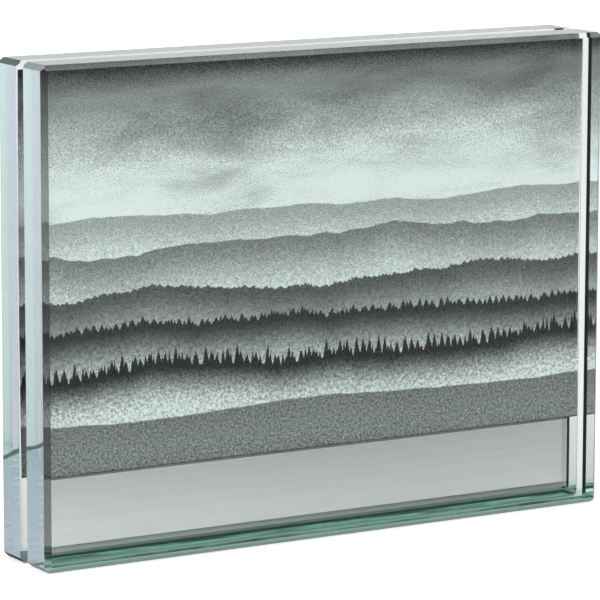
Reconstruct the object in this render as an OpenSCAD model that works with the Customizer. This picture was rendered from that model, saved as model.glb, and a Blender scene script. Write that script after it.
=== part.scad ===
// Free-standing glass picture frame: two bevelled glass blocks bonded to a metal spacer bar.
// A loose photo print drops into the slot that the bar leaves between the blocks.
// Millimetres. The origin is at the centre of the underside, with the front towards -Y.

/* [Print] */
// Width of the photo print
print_w = 150; // [80:1:280]
// Height of the photo print, measured along the paper
print_h = 92.9; // [50:0.1:200]
// Thickness of the photo paper
print_t = 0.25; // [0.15:0.05:0.5]
// Gap between the middle of the bowed print and the rear glass
print_rear_gap = 0.1; // [0.1:0.05:0.3]
// Gap between the print's top and bottom edges and the front glass
print_front_gap = 1.75; // [0.2:0.05:2]
// Gap under the print where it stands on the spacer bar
print_seat_gap = 0.05; // [0.03:0.01:0.2]
// Distance that the loose print stands to the left of the middle
print_aside = 0.6; // [0:0.05:0.6]

/* [Glass blocks] */
// Thickness of each glass block
glass_t = 10; // [6:0.5:19]
// Glass beyond each side edge of a print that stands in the middle
glass_side = 0.4; // [0.4:0.1:10]
// Glass above the print's top edge
glass_over = 1.9; // [1:0.05:15]
// Leg of the polished bevel along the outer edges
outer_bevel = 1.2; // [0.4:0.1:2.5]
// Leg of the smaller bevel along the slot
slot_bevel = 0.45; // [0.1:0.05:1]

/* [Spacer bar] */
// Thickness of the spacer bar
spacer_t = 2.3; // [1.5:0.1:6]
// Height of the spacer bar
spacer_h = 16.8; // [8:0.1:40]
// Height of the bar's underside above the underside of the glass
spacer_lift = 3.3; // [0.5:0.1:12]
// Distance from each end of the glass to the end of a bar that stands in the middle
spacer_inset = 4.15; // [1.5:0.05:15]
// Distance that the bar stands to the left of the middle
spacer_aside = 0.8; // [0:0.05:1]
// Width of the shallow bevel along the bar's ends and underside
spacer_bevel_w = 1.4; // [0.4:0.1:3]
// Depth of that bevel
spacer_bevel_d = 0.35; // [0.1:0.05:0.6]
// Leg of the fine chamfer along the bar's top edges
spacer_chamfer = 0.2; // [0.1:0.05:0.4]

/* [Adhesive] */
// Thickness of the adhesive film on each side of the bar
film_t = 0.15; // [0.05:0.05:0.4]

/* [Hidden] */
slot_w = spacer_t + 2 * film_t;
depth = 2 * glass_t + slot_w;
spacer_top = spacer_lift + spacer_h;
spacer_bevel = [spacer_bevel_w, spacer_bevel_d];

glass_w = print_w + 2 * glass_side;
glass_h = spacer_top + print_seat_gap + print_h + glass_over;

spacer_w = glass_w - 2 * spacer_inset;
land_w = spacer_w - 2 * spacer_bevel_w;
land_low = spacer_lift + spacer_bevel_w;
land_h = spacer_h - spacer_bevel_w - spacer_chamfer;

// The stiff paper springs open into a shallow arc: its middle leans back, its edges come forward
print_bow = slot_w - print_t - print_rear_gap - print_front_gap;
print_r = print_h * print_h / (8 * print_bow);
print_arc = print_h / print_r * 180 / PI;
print_mid = spacer_top + print_seat_gap + print_r * sin(print_arc / 2);
print_back = slot_w / 2 - print_rear_gap;
arc_sides = 720;

// Rectangle that stands on the first axis, with its low and high corners cut off.
// A cut is given as its length along each axis.
function cut_rectangle(w, h, low, high) = [
    [-w / 2 + low.x, 0], [w / 2 - low.x, 0], [w / 2, low.y], [w / 2, h - high.y],
    [w / 2 - high.x, h], [-w / 2 + high.x, h], [-w / 2, h - high.y], [-w / 2, low.y]
];

// Block with its outer face on y = 0 and its slot face on y = glass_t: plan, front and side outlines meet
module glass_block() {
    outer = [outer_bevel, outer_bevel];
    inner = [slot_bevel, slot_bevel];
    intersection() {
        linear_extrude(glass_h) polygon(cut_rectangle(glass_w, glass_t, outer, inner));
        translate([0, glass_t, 0]) rotate([90, 0, 0])
            linear_extrude(glass_t) polygon(cut_rectangle(glass_w, glass_h, outer, outer));
        translate([0, 0, glass_h / 2]) rotate([0, -90, 0])
            linear_extrude(glass_w, center = true) polygon(cut_rectangle(glass_h, glass_t, outer, inner));
    }
}

// Film that covers the flat land of the bar, from y = 0 backwards
module adhesive_film() {
    translate([-land_w / 2 - spacer_aside, 0, land_low]) cube([land_w, film_t, land_h]);
}

module front_glass() {
    color([0.80, 0.91, 0.88, 0.4]) translate([0, -depth / 2, 0]) glass_block();
}

module rear_glass() {
    color([0.78, 0.90, 0.87, 0.4]) mirror([0, 1, 0]) translate([0, -depth / 2, 0]) glass_block();
}

module spacer_bar() {
    color("silver") translate([-spacer_aside, 0, spacer_lift]) intersection() {
        translate([0, -spacer_t / 2, 0])
            linear_extrude(spacer_h) polygon(cut_rectangle(spacer_w, spacer_t, spacer_bevel, spacer_bevel));
        rotate([90, 0, 90]) linear_extrude(spacer_w, center = true)
            polygon(cut_rectangle(spacer_t, spacer_h, [spacer_bevel.y, spacer_bevel.x],
                [spacer_chamfer, spacer_chamfer]));
    }
}

module front_adhesive() {
    color([0.86, 0.88, 0.84]) translate([0, -slot_w / 2, 0]) adhesive_film();
}

module rear_adhesive() {
    color([0.84, 0.86, 0.82]) translate([0, spacer_t / 2, 0]) adhesive_film();
}

// Sheet swept through its arc about an axis along X that lies in front of the frame
module photo_print() {
    color("dimgray") translate([-print_aside, print_back - print_r, print_mid])
        rotate([90, 0, 90]) rotate([0, 0, -print_arc / 2])
            rotate_extrude(angle = print_arc, $fn = arc_sides)
                translate([print_r - print_t, -print_w / 2]) square([print_t, print_w]);
}

front_glass();
rear_glass();
spacer_bar();
front_adhesive();
rear_adhesive();
photo_print();
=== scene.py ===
import math
import bmesh
import bpy
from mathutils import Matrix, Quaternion, Vector


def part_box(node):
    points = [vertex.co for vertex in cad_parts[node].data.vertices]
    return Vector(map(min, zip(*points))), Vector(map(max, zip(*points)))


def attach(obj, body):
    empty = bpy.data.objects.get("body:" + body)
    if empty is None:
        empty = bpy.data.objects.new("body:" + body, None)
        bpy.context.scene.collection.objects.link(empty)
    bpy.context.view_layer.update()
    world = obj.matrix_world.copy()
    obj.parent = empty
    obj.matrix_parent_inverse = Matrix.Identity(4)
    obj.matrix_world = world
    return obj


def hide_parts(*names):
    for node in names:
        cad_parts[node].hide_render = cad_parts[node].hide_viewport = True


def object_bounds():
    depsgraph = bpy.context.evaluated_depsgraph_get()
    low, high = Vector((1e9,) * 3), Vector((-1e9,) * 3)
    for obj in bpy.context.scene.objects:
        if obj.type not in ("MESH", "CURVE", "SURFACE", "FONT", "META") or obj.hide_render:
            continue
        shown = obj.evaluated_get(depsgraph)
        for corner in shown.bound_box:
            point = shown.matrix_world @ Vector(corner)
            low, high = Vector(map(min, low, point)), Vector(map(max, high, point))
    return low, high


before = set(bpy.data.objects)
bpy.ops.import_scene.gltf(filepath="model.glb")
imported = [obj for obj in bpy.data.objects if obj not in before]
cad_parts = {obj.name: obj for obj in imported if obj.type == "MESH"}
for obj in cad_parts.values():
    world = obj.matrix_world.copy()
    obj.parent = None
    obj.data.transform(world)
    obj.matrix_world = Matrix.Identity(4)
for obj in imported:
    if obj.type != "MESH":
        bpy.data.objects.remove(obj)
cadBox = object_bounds()
scene = bpy.context.scene
mm = 0.001
weldGap = 0.001 * mm    # points closer than this are one point
print("frame loaded:", sorted(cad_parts))


# small helpers for node trees

def plug(tree, socket, value):
    if isinstance(value, bpy.types.NodeSocket):
        tree.links.new(value, socket)
    else:
        socket.default_value = value


def addNode(tree, kind, inputs=None, **settings):
    node = tree.nodes.new(kind)
    for name, value in settings.items():
        setattr(node, name, value)
    for key, value in (inputs or {}).items():
        plug(tree, node.inputs[key], value)
    return node


def calc(tree, operation, *values, clamp=False):
    node = addNode(tree, "ShaderNodeMath", dict(enumerate(values)), operation=operation, use_clamp=clamp)
    return node.outputs[0]


def times(tree, first, *others):
    for other in others:
        first = calc(tree, "MULTIPLY", first, other)
    return first


def rest(tree, share):
    return calc(tree, "SUBTRACT", 1.0, share)


def remap(tree, value, span, onto=(0.0, 1.0), smooth=False):
    node = addNode(tree, "ShaderNodeMapRange", {
        "Value": value, 1: span[0], 2: span[1], 3: onto[0], 4: onto[1]})
    node.interpolation_type = "SMOOTHSTEP" if smooth else "LINEAR"
    return node.outputs[0]


def mixColour(tree, factor, first, second, blend="MIX"):
    node = addNode(tree, "ShaderNodeMix", data_type="RGBA", blend_type=blend)
    plug(tree, node.inputs[0], factor)
    plug(tree, node.inputs[6], first)
    plug(tree, node.inputs[7], second)
    return node.outputs[2]


def shaded(tree, colour, level):
    return mixColour(tree, 1.0, colour, level, "MULTIPLY")


def mixValue(tree, factor, first, second):
    return addNode(tree, "ShaderNodeMix", {0: factor, 2: first, 3: second}).outputs[0]


def noise(tree, vector, scale, detail=2.0, rough=0.5, warp=0.0):
    node = addNode(tree, "ShaderNodeTexNoise", {
        "Vector": vector, "Scale": scale, "Detail": detail, "Roughness": rough, "Distortion": warp})
    return node.outputs["Fac"]


def stretch(tree, vector, scale):
    return addNode(tree, "ShaderNodeMapping", {"Vector": vector, "Scale": scale}).outputs[0]


def shift(tree, vector, move):
    return addNode(tree, "ShaderNodeMapping", {"Vector": vector, "Location": move}).outputs[0]


def objectPlace(tree):
    return addNode(tree, "ShaderNodeTexCoord").outputs["Object"]


def axes(tree, vector):
    return addNode(tree, "ShaderNodeSeparateXYZ", {0: vector}).outputs


def principled(tree, inputs):
    return addNode(tree, "ShaderNodeBsdfPrincipled", inputs).outputs[0]


def mixShader(tree, factor, first, second):
    return addNode(tree, "ShaderNodeMixShader", {0: factor, 1: first, 2: second}).outputs[0]


def bumpNormal(tree, height, strength, depth):
    node = addNode(tree, "ShaderNodeBump", {"Strength": strength, "Distance": depth, "Height": height})
    return node.outputs[0]


def newMaterial(name):
    material = bpy.data.materials.new(name)
    material.use_nodes = True
    material.node_tree.nodes.clear()
    return material, material.node_tree


def finishMaterial(tree, surface, volume=None):
    output = addNode(tree, "ShaderNodeOutputMaterial", {"Surface": surface})
    if volume is not None:
        tree.links.new(volume, output.inputs["Volume"])


def newGroup(name, inputs, outputs, kind="ShaderNodeTree"):
    group = bpy.data.node_groups.new(name, kind)
    for label, socketKind, value in inputs:
        socket = group.interface.new_socket(label, in_out="INPUT", socket_type=socketKind)
        if value is not None:
            socket.default_value = value
    for label, socketKind in outputs:
        group.interface.new_socket(label, in_out="OUTPUT", socket_type=socketKind)
    return group, addNode(group, "NodeGroupInput").outputs, addNode(group, "NodeGroupOutput").inputs


def useGroup(tree, group, inputs):
    node = addNode(tree, "ShaderNodeGroup", node_tree=group)
    for key, value in inputs.items():
        plug(tree, node.inputs[key], value)
    return node.outputs


def grey(level):
    return (level, level, level, 1.0)


def nodeCorners(node):
    return [Vector(corner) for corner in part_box(node)]


def addPiece(name, mesh, body, node):
    piece = bpy.data.objects.new(name, mesh)
    scene.collection.objects.link(piece)
    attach(piece, body)
    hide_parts(node)
    return piece


# camera at the photograph's viewing angle
cameraSet = {
    "turn": 30.93,            # degrees round to the left of straight on
    "rise": 9.635,            # degrees above the horizon
    "roll": 0.136,            # degrees
    "distance": 926.4 * mm,
    "lens": 237.42,
    "sensor": 36.0,
    "clip": (0.01, 50.0),
    "aim": Vector((-2.51 * mm, 0.0, 54.91 * mm)),
}


def makeCamera(look):
    turn, rise, roll = (math.radians(look[name]) for name in ("turn", "rise", "roll"))
    back = Vector((-math.sin(turn) * math.cos(rise), -math.cos(turn) * math.cos(rise), math.sin(rise)))
    data = bpy.data.cameras.new("photoCamera")
    data.lens = look["lens"]
    data.sensor_width = look["sensor"]
    data.clip_start, data.clip_end = look["clip"]
    camera = bpy.data.objects.new("photoCamera", data)
    camera.location = look["aim"] + back * look["distance"]
    camera.rotation_mode = "QUATERNION"
    camera.rotation_quaternion = Quaternion(back, roll) @ back.to_track_quat("Z", "Y")
    scene.collection.objects.link(camera)
    scene.camera = camera


makeCamera(cameraSet)
print("camera set")

# studio: pale floor, soft lamps and a bright low surround
studioSet = {
    "floorHalf": 6.0,
    "floorDrop": 0.1 * mm,        # air gap under the polished edges
    "floorTones": (0.89, 0.91),
    "floorRoughness": 0.8,
    "floorGloss": 0.1,
    "floorLift": 0.45,            # keeps the seamless paper white where the soft shade falls
    "tooth": (900.0, 3.0),        # noise scale and detail
    "toothSpan": (0.3, 0.7),
    "backTone": (1.0, 1.0, 1.0, 1.0),
    "frontTone": (0.85, 0.85, 0.86, 1.0),
    "overTone": (0.90, 0.90, 0.91, 1.0),
    "aheadSpan": (-0.25, 0.35),   # from the front tone to the back tone
    "overSpan": (0.25, 0.65),     # from those to the tone overhead
    "keyFrom": (-0.5, -1.5, 0.45),
    "keySize": 0.9,
    "keyPower": 10.0,
    "farFrom": (-0.45, -0.8, 0.9),
    "farSpread": 50.0,            # degrees
    "farPower": 0.15,
    "bounces": 40,
    "clearBounces": 24,
}


def makeFloor(look):
    half, level = look["floorHalf"], -look["floorDrop"]
    corners = [(-half, -half, level), (half, -half, level), (half, half, level), (-half, half, level)]
    mesh = bpy.data.meshes.new("floor")
    mesh.from_pydata(corners, [], [(0, 1, 2, 3)])
    floor = bpy.data.objects.new("floor", mesh)
    scene.collection.objects.link(floor)
    material, tree = newMaterial("floorPaper")
    tooth = noise(tree, objectPlace(tree), *look["tooth"])
    paper = principled(tree, {
        "Base Color": remap(tree, tooth, look["toothSpan"], look["floorTones"]),
        "Roughness": look["floorRoughness"], "Specular IOR Level": look["floorGloss"]})
    path = addNode(tree, "ShaderNodeLightPath").outputs
    seen = times(tree, path["Is Camera Ray"], look["floorLift"])
    lift = addNode(tree, "ShaderNodeEmission", {"Color": grey(1.0), "Strength": seen})
    whole = addNode(tree, "ShaderNodeAddShader", {0: paper, 1: lift.outputs[0]})
    finishMaterial(tree, whole.outputs[0])
    mesh.materials.append(material)


def hangLamp(data, place):
    lamp = bpy.data.objects.new(data.name, data)
    lamp.location = place
    lamp.rotation_mode = "QUATERNION"
    lamp.rotation_quaternion = Vector(place).to_track_quat("Z", "Y")    # aims at the origin
    lamp.visible_camera = False
    lamp.visible_glossy = False
    lamp.visible_transmission = False
    scene.collection.objects.link(lamp)


def makeLamps(look):
    key = bpy.data.lights.new("keySoft", "AREA")
    key.shape = "DISK"
    key.size = look["keySize"]
    key.energy = look["keyPower"]
    hangLamp(key, look["keyFrom"])
    far = bpy.data.lights.new("farSoft", "SUN")
    far.angle = math.radians(look["farSpread"])
    far.energy = look["farPower"]
    hangLamp(far, look["farFrom"])


def makeWorld(look):
    world = bpy.data.worlds.new("studio")
    world.use_nodes = True
    tree = world.node_tree
    tree.nodes.clear()
    ray = addNode(tree, "ShaderNodeTexCoord").outputs["Generated"]
    turn = math.radians(cameraSet["turn"])
    ahead = addNode(tree, "ShaderNodeVectorMath", {0: ray, 1: (math.sin(turn), math.cos(turn), 0.0)},
                    operation="DOT_PRODUCT").outputs["Value"]
    onward = remap(tree, ahead, look["aheadSpan"], smooth=True)
    over = remap(tree, axes(tree, ray)["Z"], look["overSpan"], smooth=True)
    tone = mixColour(tree, onward, look["frontTone"], look["backTone"])
    tone = mixColour(tree, over, tone, look["overTone"])
    path = addNode(tree, "ShaderNodeLightPath").outputs
    tone = mixColour(tree, path["Is Camera Ray"], tone, grey(1.0))
    shader = addNode(tree, "ShaderNodeBackground", {"Color": tone, "Strength": 1.0})
    addNode(tree, "ShaderNodeOutputWorld", {"Surface": shader.outputs[0]})
    scene.world = world


def setLightPaths(look):
    scene.view_settings.view_transform = "Standard"
    scene.cycles.max_bounces = look["bounces"]
    scene.cycles.transmission_bounces = look["bounces"]
    scene.cycles.glossy_bounces = look["bounces"]
    scene.cycles.transparent_max_bounces = look["clearBounces"]
    scene.cycles.caustics_refractive = True    # daylight reaches the print through the blocks
    scene.cycles.caustics_reflective = False


makeFloor(studioSet)
makeLamps(studioSet)
makeWorld(studioSet)
setLightPaths(studioSet)
print("studio set, denoising", scene.cycles.use_denoising)

# clear glass blocks with polished bevels
glassSet = {
    "arris": 0.08 * mm,
    "arrisSteps": 2,
    "arrisProfile": 0.5,
    "flatAngle": 0.01,        # radians, faces within this are one face
    "straight": 0.999,        # part of a normal that counts as square to its axis
    "tilt": 0.2,              # and as leaning that way
    "lowLevel": 2.0 * mm,     # bevels whose middle is below this edge the underside
    # marks on the faces, each an attribute
    "parts": ("bevel", "low", "slot", "base", "end", "line", "shadeVeil"),
    "ior": 1.52,
    "gloss": (0.25, 0.25, 0.25, 1.0),
    "tint": (0.08, 0.66, 0.52, 1.0),
    "density": 2.5,
    "shade": (0.90, 0.94, 0.93, 1.0),           # light that one surface lets through to what lies behind
    # turns and surfaces on a ray's way, which tell a plain view from light led along a block
    "nearTurns": 1.5,         # one turn at most
    "freshTurns": 0.5,        # none
    "farSurfaces": 1.5,       # past the nearer block
    "ledLimit": 26.0,         # steps after which light counts as led
    # painted shade and painted glow on bevels and underside seen from inside
    "bevelTone": (0.008, 0.012, 0.011, 1.0),
    "lowTone": (0.03, 0.11, 0.08, 1.0),         # painted shade on bevels along the underside
    "paleTone": (0.62, 0.70, 0.66, 1.0),        # painted lighter upper part of those low bevels
    "paleSpan": (0.55 * mm, 0.65 * mm),
    "ledGlow": (0.92, 0.95, 0.95, 1.0),         # painted glow on bevels in light that is led along the block
    "ledLow": (0.65, 0.80, 0.76, 1.0),          # painted glow on low bevels in that light
    "baseTone": (0.46, 0.92, 0.70, 1.0),        # ground underside
    "baseShare": 0.9,
    # painted glow of the ground underside
    "baseGlow": 0.18,
    "baseStretch": (40.0, 150.0, 150.0),
    "baseNoise": (1.0, 3.0, 0.6),
    "baseSpan": (0.36, 0.62),
    "baseLevels": (0.10, 1.35),
    "edgeShade": 0.35,                          # painted shade on the slot edge of the nearer block's underside
    "innerRoughness": 0.6,
    # painted shade over low and corner bevels seen from outside
    "lowShadeVeil": (0.26, 0.34, 0.33, 1.0),
    "lowShare": 0.92,
    "cornerShadeVeil": (0.32, 0.32, 0.32, 1.0),
    "cornerShare": 0.75,
    "footShadeLine": (0.03, 0.035, 0.035, 1.0),      # painted dark line along the lower edge of the rear block's ends
    "shadeVeilRoughness": 0.5,
    "dullGloss": 0.1,
    # share of the light that a face lets in; the top, side and corner shares are painted shade
    "clearPass": (0.965, 0.99, 0.985),
    "topPass": (0.13, 0.19, 0.175),
    "sidePass": (0.35, 0.37, 0.36),
    "cornerPass": ((0.34, 0.34, 0.34), (0.10, 0.10, 0.10)),    # front block, rear block
    "footSpan": (3.2 * mm, 3.6 * mm),           # side bevels are clear below this
    "gapPass": (0.21, 0.24, 0.25),
    "gapLevel": 3.0 * mm,                       # painted shade: the open slot is dim below this
    "stripPass": (0.36, 0.56, 0.48),
    "stripSpan": (1.75 * mm, 1.95 * mm),        # painted shade: outer faces are dim below this
    # painted shade, green, on light that leaves near the underside
    "leavePass": (0.75, 0.95, 0.87),
    "leaveSpan": (2.0 * mm, 2.6 * mm),
    # ends: painted light led along the block as two tints side by side, a painted darker part below and
    # a painted dark line slanting between
    "deepPass": (0.91, 0.88, 0.90),
    "nearPass": (0.855, 0.735, 0.85),
    "deepSpan": (4.6 * mm, 6.0 * mm),
    "lowPass": (0.695, 0.64, 0.755),
    "lowSpan": (-0.3 * mm, 0.3 * mm),
    "linePass": (0.11, 0.13, 0.13),
    "lineLevel": 26.6 * mm,
    "lineSlope": -0.335,
    "lineSpan": (0.36 * mm, 0.72 * mm),         # the line fades out this far from its middle
    "lineNoise": (130.0, 1.0),
    "lineWave": (-1.2 * mm, 1.2 * mm),
    "streakStretch": (1.0, 60.0, 700.0),
    "streakNoise": (1.0, 2.0),
    "streakSpan": (0.3, 0.7),
    "streakLevels": (0.93, 1.05),
    "riseSpan": (30.0 * mm, 115.0 * mm),        # painted light: the ends grow lighter upwards
    "riseLevels": (0.88, 1.14),
}


def partName(part):
    return part + "Part"


def passTone(share):
    # the shader lets the root of its base colour through
    return tuple(part * part for part in share) + (1.0,)


def readHit(tree, look):
    path = addNode(tree, "ShaderNodeLightPath").outputs
    turns = calc(tree, "SUBTRACT", path["Ray Depth"], path["Transmission Depth"])
    hit = {}
    for part in look["parts"]:
        hit[part] = addNode(tree, "ShaderNodeAttribute", attribute_name=partName(part)).outputs["Fac"]
    hit["place"] = objectPlace(tree)
    hit["height"] = axes(tree, hit["place"])["Z"]
    hit["inside"] = addNode(tree, "ShaderNodeNewGeometry").outputs["Backfacing"]
    hit["direct"] = path["Is Camera Ray"]
    hit["shadow"] = path["Is Shadow Ray"]
    hit["near"] = calc(tree, "LESS_THAN", turns, look["nearTurns"])
    hit["fresh"] = calc(tree, "LESS_THAN", turns, look["freshTurns"])
    hit["far"] = calc(tree, "GREATER_THAN", path["Transmission Depth"], look["farSurfaces"])
    hit["spent"] = calc(tree, "GREATER_THAN", path["Ray Depth"], look["ledLimit"])
    return hit


# painted light and shade on the block ends, standing in for light led along the block
def paintEndLight(tree, place, look):
    parts = axes(tree, place)
    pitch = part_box("rear_glass")[0][1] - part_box("front_glass")[0][1]
    inBlock = calc(tree, "MODULO", calc(tree, "SUBTRACT", parts["Y"], cadBox[0][1]), pitch)
    deep = remap(tree, inBlock, look["deepSpan"], smooth=True)
    upper = mixColour(tree, deep, passTone(look["nearPass"]), passTone(look["deepPass"]))
    wave = remap(tree, noise(tree, place, *look["lineNoise"]), (0.0, 1.0), look["lineWave"])
    level = calc(tree, "MULTIPLY_ADD", parts["Y"], look["lineSlope"], look["lineLevel"])
    above = calc(tree, "SUBTRACT", parts["Z"], calc(tree, "ADD", level, wave))
    tone = mixColour(tree, remap(tree, above, look["lowSpan"]), passTone(look["lowPass"]), upper)
    streak = noise(tree, stretch(tree, place, look["streakStretch"]), *look["streakNoise"])
    light = times(tree, remap(tree, streak, look["streakSpan"], look["streakLevels"]),
                  remap(tree, parts["Z"], look["riseSpan"], look["riseLevels"]))
    mark = remap(tree, calc(tree, "ABSOLUTE", above), look["lineSpan"], (1.0, 0.0), smooth=True)
    return mixColour(tree, mark, shaded(tree, tone, light), passTone(look["linePass"]))


def makeEntry(tree, hit, look):
    # painted shade: each face lets in its own share of the light, darker on the top, side and corner
    # faces
    faceTone = addNode(tree, "ShaderNodeAttribute", attribute_name="facePass").outputs["Color"]
    tone = mixColour(tree, hit["end"], faceTone, paintEndLight(tree, hit["place"], look))
    foot = times(tree, hit["bevel"], remap(tree, hit["height"], look["footSpan"], (1.0, 0.0)))
    tone = mixColour(tree, foot, tone, passTone(look["clearPass"]))
    # slot walls without the ends and undersides, which can bear the slot's mark too
    walls = calc(tree, "SUBTRACT", hit["slot"], calc(tree, "ADD", hit["end"], hit["base"]), clamp=True)
    # painted shade on the open slot's lower part, for camera rays only
    gap = times(tree, walls, hit["direct"], calc(tree, "LESS_THAN", hit["height"], look["gapLevel"]))
    tone = mixColour(tree, gap, tone, passTone(look["gapPass"]))
    # painted shade along the lowest strip of the outer faces
    lowest = remap(tree, hit["height"], look["stripSpan"], (1.0, 0.0))
    strip = times(tree, lowest, rest(tree, hit["slot"]))
    return mixColour(tree, strip, tone, passTone(look["stripPass"]))


# from inside: painted shade as dark bevel lines, a ground underside with painted shade and glow, and a
# painted glow for light that is led along the block
def makeInner(tree, hit, look):
    hither = times(tree, hit["low"], rest(tree, hit["far"]))    # low bevels of the nearer block
    rough = calc(tree, "MULTIPLY_ADD", hit["base"], hit["far"], times(tree, hither, hit["slot"]))
    streak = noise(tree, stretch(tree, hit["place"], look["baseStretch"]), *look["baseNoise"])
    ground = shaded(tree, look["baseTone"], remap(tree, streak, look["baseSpan"], look["baseLevels"]))
    # painted shade: the slot edge of the nearer block's underside is darker
    ground = shaded(tree, ground, remap(tree, hither, (0.0, 1.0), (1.0, look["edgeShade"])))
    pale = remap(tree, hit["height"], look["paleSpan"])
    lowTone = mixColour(tree, pale, look["lowTone"], look["paleTone"])
    # painted shade: bevels seen from inside are near black, the low ones dark green with a lighter upper
    # part
    dark = mixColour(tree, hit["low"], look["bevelTone"], lowTone)
    plain = mixColour(tree, rough, dark, ground)
    # painted glow: emission on bevels in light that is led along the block
    led = mixColour(tree, hit["low"], look["ledGlow"], look["ledLow"])
    # painted glow of the ground underside
    glow = mixColour(tree, look["baseGlow"], grey(0.0), ground)
    glow = mixColour(tree, rough, grey(0.0), glow)
    inner = principled(tree, {
        "Base Color": mixColour(tree, hit["near"], grey(0.0), plain),
        "Roughness": look["innerRoughness"], "Specular IOR Level": look["dullGloss"],
        "Emission Color": mixColour(tree, hit["near"], led, glow), "Emission Strength": 1.0})
    seen = calc(tree, "SUBTRACT", hit["bevel"], times(tree, hither, hit["near"]))
    share = calc(tree, "MULTIPLY_ADD", times(tree, rough, hit["fresh"]), look["baseShare"], seen)
    share = calc(tree, "ADD", share, hit["spent"])
    return calc(tree, "MULTIPLY", share, hit["inside"], clamp=True), inner


def makeClearGlass(look):
    material, tree = newMaterial("clearGlass")
    hit = readHit(tree, look)
    enter = makeEntry(tree, hit, look)
    # painted shade: light that leaves near the underside is darker and greener
    higher = remap(tree, hit["height"], look["leaveSpan"])
    leave = mixColour(tree, higher, passTone(look["leavePass"]), grey(1.0))
    surface = principled(tree, {
        "Base Color": mixColour(tree, hit["inside"], enter, leave), "Roughness": 0.0,
        "IOR": look["ior"], "Transmission Weight": 1.0, "Specular Tint": look["gloss"]})
    share, inner = makeInner(tree, hit, look)
    surface = mixShader(tree, share, surface, inner)
    # painted shade: a dull grey cover over the low and corner bevels seen from outside, with a painted
    # dark line on the rear block's lower end edges
    shadeVeilTone = mixColour(tree, hit["low"], look["cornerShadeVeil"], look["lowShadeVeil"])
    shadeVeilSurface = principled(tree, {
        "Base Color": mixColour(tree, hit["line"], shadeVeilTone, look["footShadeLine"]),
        "Roughness": look["shadeVeilRoughness"], "Specular IOR Level": look["dullGloss"]})
    surface = mixShader(tree, times(tree, hit["shadeVeil"], rest(tree, hit["inside"])), surface, shadeVeilSurface)
    clear = addNode(tree, "ShaderNodeBsdfTransparent", {"Color": look["shade"]}).outputs[0]
    body = addNode(tree, "ShaderNodeVolumeAbsorption", {
        "Color": look["tint"], "Density": look["density"]}).outputs[0]
    finishMaterial(tree, mixShader(tree, hit["shadow"], surface, clear), body)
    return material


clearGlass = makeClearGlass(glassSet)


def markFace(face, middle, look):
    across, through, up = (abs(part) for part in face.normal)
    centre = face.calc_center_median()
    rear = middle > 0
    slant = max(across, through, up) < look["straight"]
    under = slant and centre.z < look["lowLevel"]
    outer = (centre.y - middle) * middle > 0
    corner = slant and min(across, up) > look["tilt"]
    # painted shade: share is the light the face lets in, below clear glass on top, side and corner
    # faces; the second value is the share of painted shade laid over the face
    share, shadeVeil = look["clearPass"], 0.0
    if under:
        shadeVeil = look["lowShare"]
    elif corner:
        share = look["cornerPass"][rear]
        shadeVeil = 0.0 if rear else look["cornerShare"]
    elif slant and outer and across > look["tilt"]:
        share = look["sidePass"]
    elif face.normal.z > look["straight"]:
        share = look["topPass"]
    marks = {
        "bevel": slant and (under or not (corner and rear)),
        "low": under,
        "slot": not outer,
        "base": face.normal.z < -look["straight"],
        "end": across > look["straight"],
        "line": corner and under and rear,
        "shadeVeil": shadeVeil,    # share of the painted shade laid over the face
    }
    return share, marks


def makeBlock(node, name, look):
    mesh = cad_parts[node].data.copy()
    mesh.name = name
    shape = bmesh.new()
    shape.from_mesh(mesh)
    bmesh.ops.remove_doubles(shape, verts=shape.verts, dist=weldGap)
    bmesh.ops.dissolve_limit(shape, angle_limit=look["flatAngle"], verts=shape.verts, edges=shape.edges)
    bmesh.ops.bevel(shape, geom=list(shape.edges), offset=look["arris"], segments=look["arrisSteps"],
                    profile=look["arrisProfile"], affect="EDGES", clamp_overlap=True)
    shape.normal_update()
    for part in look["parts"]:
        shape.faces.layers.float.new(partName(part))
    passLayer = shape.faces.layers.float_vector.new("facePass")
    layers = {part: shape.faces.layers.float[partName(part)] for part in look["parts"]}
    middle = sum(corner[1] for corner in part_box(node)) / 2
    for face in shape.faces:
        face.smooth = False
        share, marks = markFace(face, middle, look)
        face[passLayer] = passTone(share)[:3]
        for part, layer in layers.items():
            face[layer] = float(marks[part])
    mesh.materials.clear()    # before the faces come back, because it resets their slots
    mesh.materials.append(clearGlass)
    shape.to_mesh(mesh)
    shape.free()
    for face in mesh.polygons:
        face.material_index = 0
    return addPiece(name, mesh, "frame", node)


makeBlock("front_glass", "frontGlass", glassSet)
makeBlock("rear_glass", "rearGlass", glassSet)
print("glass blocks made")

# brushed spacer bar
barSet = {
    "tone": (0.825, 0.79, 0.785, 1.0),
    "brushStretch": (9.0, 1800.0, 1800.0),
    "brushNoise": (1.0, 4.0, 0.6),
    "brushSpan": (0.25, 0.75),
    "brushLevels": (0.94, 1.05),
    "roughSpan": (0.2, 0.8),
    "roughness": (0.32, 0.41),
    "bump": 0.1,
    "bumpDepth": 0.01 * mm,
    # painted shade: darker towards its upper right corner and towards the top
    "leanRise": 5.0,
    "leanSpan": (-0.05, 0.15),
    "leanLevels": (1.15, 0.85),
    "fadeLevels": (1.09, 0.78),
    # painted shade on the bevel along the underside, painted highlight on the one along the top
    "lowBevel": 1.4 * mm,
    "highBevel": 0.25 * mm,
    "bevelEdge": 0.05 * mm,
    "lowBevelShadeLevels": (0.58, 1.0),
    "topBevelHighlightLevels": (1.0, 1.35),
}


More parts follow.
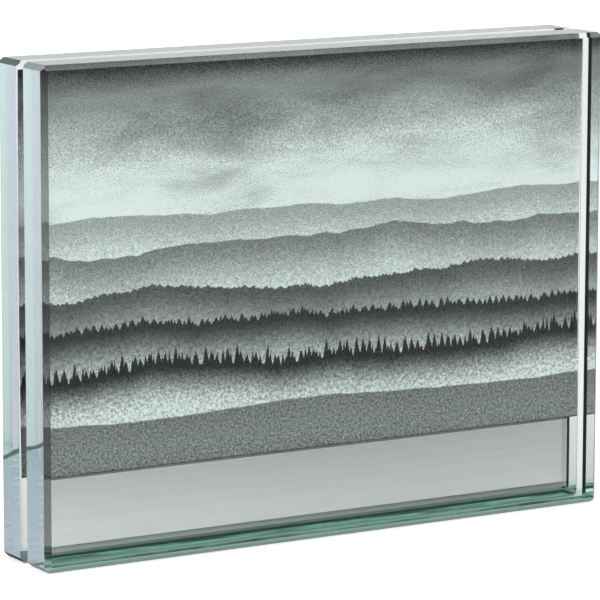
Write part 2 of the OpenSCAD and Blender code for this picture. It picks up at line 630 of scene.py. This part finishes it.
def makeBrushedMetal(look, low, high):
    material, tree = newMaterial("brushedMetal")
    place = objectPlace(tree)
    parts = axes(tree, place)
    lines = noise(tree, stretch(tree, place, look["brushStretch"]), *look["brushNoise"])
    # painted shade: lighter at the lower left, darker at the upper right and at the top
    slope = calc(tree, "MULTIPLY_ADD", parts["Z"], look["leanRise"], parts["X"])
    # painted shade below the foot of the flat front, painted highlight above its crest
    foot, crest = low.z + look["lowBevel"], high.z - look["highBevel"]
    shade = times(tree, remap(tree, lines, look["brushSpan"], look["brushLevels"]),
                  remap(tree, slope, look["leanSpan"], look["leanLevels"], smooth=True),
                  remap(tree, parts["Z"], (foot - look["bevelEdge"], foot), look["lowBevelShadeLevels"]),
                  remap(tree, parts["Z"], (foot, crest), look["fadeLevels"]),
                  remap(tree, parts["Z"], (crest, crest + look["bevelEdge"]), look["topBevelHighlightLevels"]))
    finishMaterial(tree, principled(tree, {
        "Base Color": shaded(tree, look["tone"], shade), "Metallic": 1.0,
        "Roughness": remap(tree, lines, look["roughSpan"], look["roughness"]),
        "Normal": bumpNormal(tree, lines, look["bump"], look["bumpDepth"])}))
    return material


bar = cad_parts["spacer_bar"]
bar.data.materials.clear()
bar.data.materials.append(makeBrushedMetal(barSet, *nodeCorners("spacer_bar")))
print("spacer bar dressed")

# thin clear films that bond the bar to the blocks
filmSet = {
    "free": 0.02 * mm,              # air between a film and what it touches
    "tone": (0.9, 0.92, 0.9, 1.0),
    "roughness": 0.3,
    "cloud": (300.0, 3.0),          # noise scale and detail
    "cloudSpan": (0.3, 0.7),
    "alpha": (0.004, 0.012),
}


def makeFilm(node, name, look):
    material, tree = newMaterial(name)
    cloud = noise(tree, objectPlace(tree), *look["cloud"])
    finishMaterial(tree, principled(tree, {
        "Base Color": look["tone"], "Roughness": look["roughness"],
        "Alpha": remap(tree, cloud, look["cloudSpan"], look["alpha"])}))
    free = Vector((0.0, look["free"], 0.0))
    low, high = nodeCorners(node)
    low, high = low + free, high - free
    mesh = bpy.data.meshes.new(name)
    shape = bmesh.new()
    bmesh.ops.create_cube(shape, size=1.0)
    for vert in shape.verts:
        vert.co = Vector([low[i] if vert.co[i] < 0 else high[i] for i in range(3)])
    shape.to_mesh(mesh)
    shape.free()
    mesh.materials.append(material)
    return addPiece(name, mesh, "frame", node)


makeFilm("front_adhesive", "frontAdhesive", filmSet)
makeFilm("rear_adhesive", "rearAdhesive", filmSet)
print("adhesive films made")

# one line of hills, with a row of trees where wanted, in shares of the picture's height
ridgeSet = {
    "crestNoise": (1.0, 6.0, 0.52),
    "treeRows": ((46.0, 1.0), (79.0, 0.75)),    # trees along one picture height, height of the tallest
    "treeSpread": 0.9,
    "treeTaper": 2.3,
    "leastTree": 0.35,
    "tiers": -95.0,                             # branches, which step the outline
    "tierShift": 7.0,
    "tierReach": -0.10,
    "edge": (-0.0012, 0.0012),
}


def makeRidgeGroup(look):
    number = "NodeSocketFloat"
    group, given, put = newGroup("ridgeLayer", [
        ("Across", number, 0.0), ("Up", number, 0.0), ("Level", number, 0.5), ("Swing", number, 0.05),
        ("Scale", number, 2.0), ("Seed", number, 0.0), ("Trees", number, 0.0)],
        [("Cover", number), ("Depth", number)])
    along = calc(group, "MULTIPLY_ADD", given["Across"], given["Scale"], given["Seed"])
    spot = addNode(group, "ShaderNodeCombineXYZ", {0: along, 1: given["Seed"]}).outputs[0]
    wave = remap(group, noise(group, spot, *look["crestNoise"]), (0.0, 1.0), (-1.0, 1.0))
    crest = calc(group, "MULTIPLY_ADD", wave, given["Swing"], given["Level"])
    tips = []
    for density, tallest in look["treeRows"]:
        row = calc(group, "MULTIPLY_ADD", given["Across"], density, given["Seed"])
        cell = addNode(group, "ShaderNodeTexVoronoi", {
            "W": row, "Scale": 1.0, "Randomness": look["treeSpread"]}, voronoi_dimensions="1D").outputs
        size = addNode(group, "ShaderNodeSeparateColor", {0: cell["Color"]}).outputs[0]
        start = times(group, size, look["tierShift"])
        tier = calc(group, "FRACT", calc(group, "MULTIPLY_ADD", given["Up"], look["tiers"], start))
        taper = times(group, cell["Distance"], look["treeTaper"])
        reach = calc(group, "MULTIPLY_ADD", tier, look["tierReach"], taper)
        tip = calc(group, "SUBTRACT", 1.0, reach, clamp=True)
        heights = (look["leastTree"] * tallest, tallest)
        tips.append(times(group, tip, remap(group, size, (0.0, 1.0), heights)))
    tall = times(group, calc(group, "MAXIMUM", *tips), given["Trees"])
    depth = calc(group, "SUBTRACT", calc(group, "ADD", crest, tall), given["Up"])
    group.links.new(remap(group, depth, look["edge"]), put["Cover"])
    group.links.new(calc(group, "SUBTRACT", crest, given["Up"]), put["Depth"])
    return group


# fine grain of the paper, as a shade about 1 and a height
grainSet = {"noise": (2.0, 0.6), "middle": 0.5, "gain": 4.0}


def makeGrainGroup(look):
    number = "NodeSocketFloat"
    group, given, put = newGroup("paperGrain", [
        ("Place", "NodeSocketVector", None), ("Scale", number, 2000.0), ("Amount", number, 0.2)],
        [("Shade", number), ("Height", number)])
    fine = noise(group, given["Place"], given["Scale"], *look["noise"])
    swing = times(group, calc(group, "SUBTRACT", fine, look["middle"]), given["Amount"])
    group.links.new(calc(group, "MULTIPLY_ADD", swing, look["gain"], 1.0), put["Shade"])
    group.links.new(fine, put["Height"])
    return group


ridgeLayer = makeRidgeGroup(ridgeSet)
paperGrain = makeGrainGroup(grainSet)
print("picture groups made")

# loose photo print: a bowed sheet with a plain hill picture
printSet = {
    "thickness": 0.25 * mm,
    "rows": 49,
    "columns": 2,
    # picture side
    "tint": (0.955, 1.0, 0.99, 1.0),
    "roughness": 0.42,
    "gloss": 0.15,
    "grain": {"Scale": 3400.0, "Amount": 0.55},
    "speck": 0.09,                              # grain that shows in the darks as well
    "bump": 0.15,
    "bumpDepth": 0.01 * mm,
    "skySpan": (0.62, 0.92),
    "skyLevels": (1.20, 0.28),
    "topSpan": (0.93, 1.0),                     # shade under the upper edge
    "topLevels": (1.0, 0.06),
    "sideSpan": (0.0, 0.06),                    # shade at the left edge
    "sideLevels": (0.35, 1.0),
    "seatSpan": (0.002, 0.004),                 # shade at the seat
    "seatLevels": (0.25, 1.0),
    "cloudStretch": (1.3, 4.2, 1.0),
    "cloudNoise": (2.2, 7.0, 0.55, 0.4),
    "cloudSpan": (0.3, 0.72),
    "cloudLevels": (0.55, 1.35),
    "leafNoise": (4.0, 0.7),
    "leafSpan": (0.25, 0.75),
    # far to near: level, swing, scale, seed, trees, crest tone, foot tone, fade, texture, texture scale
    "ridges": [
        (0.62, 0.050, 2.0, 3.1, 0.000, 0.44, 0.92, 0.13, 0.20, 60.0),
        (0.54, 0.075, 2.3, 8.4, 0.000, 0.24, 0.84, 0.15, 0.30, 70.0),
        (0.44, 0.080, 2.0, 14.7, 0.010, 0.10, 0.68, 0.16, 0.45, 80.0),
        (0.33, 0.075, 1.7, 23.2, 0.026, 0.024, 0.62, 0.13, 0.70, 90.0),
        (0.23, 0.070, 1.3, 31.9, 0.052, 0.004, 0.90, 0.12, 0.85, 110.0),
        (0.125, 0.030, 1.6, 40.3, 0.000, 0.220, 0.270, 0.08, 1.00, 150.0),
    ],
    # plain side
    "paper": (0.86, 0.86, 0.84, 1.0),
    "paperRoughness": 0.6,
    "paperGrain": {"Scale": 900.0, "Amount": 0.03},
    "paperBump": 0.3,
    "paperBumpDepth": 0.02 * mm,
}


def makePictureFace(look, low, high):
    material, tree = newMaterial("pictureFace")
    place = objectPlace(tree)
    parts = axes(tree, place)
    wide = (high.x - low.x) / (high.z - low.z)
    across = remap(tree, parts["X"], (low.x, high.x), (0.0, wide))
    up = remap(tree, parts["Z"], (low.z, high.z))
    spot = addNode(tree, "ShaderNodeCombineXYZ", {0: across, 1: up}).outputs[0]
    cloud = noise(tree, stretch(tree, spot, look["cloudStretch"]), *look["cloudNoise"])
    tone = times(tree, remap(tree, up, look["skySpan"], look["skyLevels"], smooth=True),
                 remap(tree, up, look["topSpan"], look["topLevels"], smooth=True),
                 remap(tree, cloud, look["cloudSpan"], look["cloudLevels"]))
    for level, swing, scale, seed, trees, crest, foot, fade, texture, leafScale in look["ridges"]:
        layer = useGroup(tree, ridgeLayer, {
            "Across": across, "Up": up, "Level": level, "Swing": swing, "Scale": scale, "Seed": seed,
            "Trees": trees})
        leaf = noise(tree, shift(tree, spot, (seed, seed, 0.0)), leafScale, *look["leafNoise"])
        body = times(tree, remap(tree, layer["Depth"], (0.0, fade), (crest, foot), smooth=True),
                     remap(tree, leaf, look["leafSpan"], (1.0 - texture, 1.0 + texture)))
        tone = mixValue(tree, layer["Cover"], tone, body)
    grain = useGroup(tree, paperGrain, {"Place": place, **look["grain"]})
    tone = times(tree, tone, remap(tree, across, look["sideSpan"], look["sideLevels"], smooth=True),
                 remap(tree, up, look["seatSpan"], look["seatLevels"]), grain["Shade"])
    speck = times(tree, calc(tree, "SUBTRACT", grain["Shade"], 1.0), look["speck"])
    tone = calc(tree, "ADD", tone, speck, clamp=True)
    finishMaterial(tree, principled(tree, {
        "Base Color": shaded(tree, look["tint"], tone), "Roughness": look["roughness"],
        "Specular IOR Level": look["gloss"],
        "Normal": bumpNormal(tree, grain["Height"], look["bump"], look["bumpDepth"])}))
    return material


def makePaperBack(look):
    material, tree = newMaterial("paperBack")
    grain = useGroup(tree, paperGrain, {"Place": objectPlace(tree), **look["paperGrain"]})
    finishMaterial(tree, principled(tree, {
        "Base Color": shaded(tree, look["paper"], grain["Shade"]), "Roughness": look["paperRoughness"],
        "Normal": bumpNormal(tree, grain["Height"], look["paperBump"], look["paperBumpDepth"])}))
    return material


def makeBowedSheetTree():
    number = "NodeSocketFloat"
    group, given, put = newGroup("bowedSheet", [
        ("Width", number, 0.15), ("Height", number, 0.1), ("Thickness", number, 0.001),
        ("Radius", number, 1.0), ("Columns", "NodeSocketInt", 2), ("Rows", "NodeSocketInt", 9),
        ("Middle", "NodeSocketVector", None), ("Face", "NodeSocketMaterial", None),
        ("Back", "NodeSocketMaterial", None)],
        [("Sheet", "NodeSocketGeometry")], "GeometryNodeTree")
    flat = addNode(group, "GeometryNodeMeshGrid", {
        "Size X": given["Width"], "Size Y": given["Height"],
        "Vertices X": given["Columns"], "Vertices Y": given["Rows"]}).outputs["Mesh"]
    # rows go round an arc, whose middle touches the back of the slot
    parts = axes(group, addNode(group, "GeometryNodeInputPosition").outputs[0])
    angle = calc(group, "DIVIDE", parts["Y"], given["Radius"])
    lean = times(group, calc(group, "SUBTRACT", calc(group, "COSINE", angle), 1.0), given["Radius"])
    rise = times(group, calc(group, "SINE", angle), given["Radius"])
    bowed = addNode(group, "ShaderNodeCombineXYZ", {0: parts["X"], 1: lean, 2: rise}).outputs[0]
    moved = addNode(group, "ShaderNodeVectorMath", {0: bowed, 1: given["Middle"]}).outputs[0]
    back = addNode(group, "GeometryNodeSetPosition", {"Geometry": flat, "Position": moved}).outputs[0]
    thick = addNode(group, "GeometryNodeExtrudeMesh", {
        "Mesh": back, "Offset Scale": given["Thickness"], "Individual": False}).outputs
    turned = addNode(group, "GeometryNodeFlipFaces", {"Mesh": back}).outputs[0]
    join = addNode(group, "GeometryNodeJoinGeometry")
    for part in (turned, thick["Mesh"]):
        plain = addNode(group, "GeometryNodeSetMaterial", {"Geometry": part, "Material": given["Back"]})
        group.links.new(plain.outputs[0], join.inputs[0])
    closed = addNode(group, "GeometryNodeMergeByDistance", {
        "Geometry": join.outputs[0], "Distance": weldGap}).outputs[0]
    real = addNode(group, "GeometryNodeRealizeInstances", {"Geometry": closed}).outputs[0]
    faced = addNode(group, "GeometryNodeSetMaterial", {
        "Geometry": real, "Selection": thick["Top"], "Material": given["Face"]}).outputs[0]
    group.links.new(faced, put["Sheet"])
    return group


def makePrint(node, name, look):
    low, high = nodeCorners(node)
    tall = high.z - low.z
    bow = high.y - low.y - look["thickness"]
    radius = (tall * tall / 4 + bow * bow) / (2 * bow)
    values = {
        "Width": high.x - low.x, "Height": 2 * radius * math.asin(tall / 2 / radius),
        "Thickness": look["thickness"], "Radius": radius,
        "Columns": look["columns"], "Rows": look["rows"],
        "Middle": ((low.x + high.x) / 2, high.y, (low.z + high.z) / 2),
        "Face": makePictureFace(look, low, high), "Back": makePaperBack(look),
    }
    tree = makeBowedSheetTree()
    holder = bpy.data.objects.new("sheetHolder", bpy.data.meshes.new("sheetHolder"))
    scene.collection.objects.link(holder)
    modifier = holder.modifiers.new("bowedSheet", "NODES")
    modifier.node_group = tree
    for item in tree.interface.items_tree:
        if item.in_out == "INPUT":
            modifier[item.identifier] = values[item.name]
    depsgraph = bpy.context.evaluated_depsgraph_get()
    mesh = bpy.data.meshes.new_from_object(holder.evaluated_get(depsgraph), depsgraph=depsgraph)
    mesh.name = name
    bpy.data.objects.remove(holder)
    mesh.materials.pop(index=0)    # the holder's own empty slot
    print("sheet", [(material.name, sum(face.material_index == i for face in mesh.polygons))
                    for i, material in enumerate(mesh.materials)])
    return addPiece(name, mesh, "print", node)


makePrint("photo_print", "photoPrint", printSet)
print("print made")
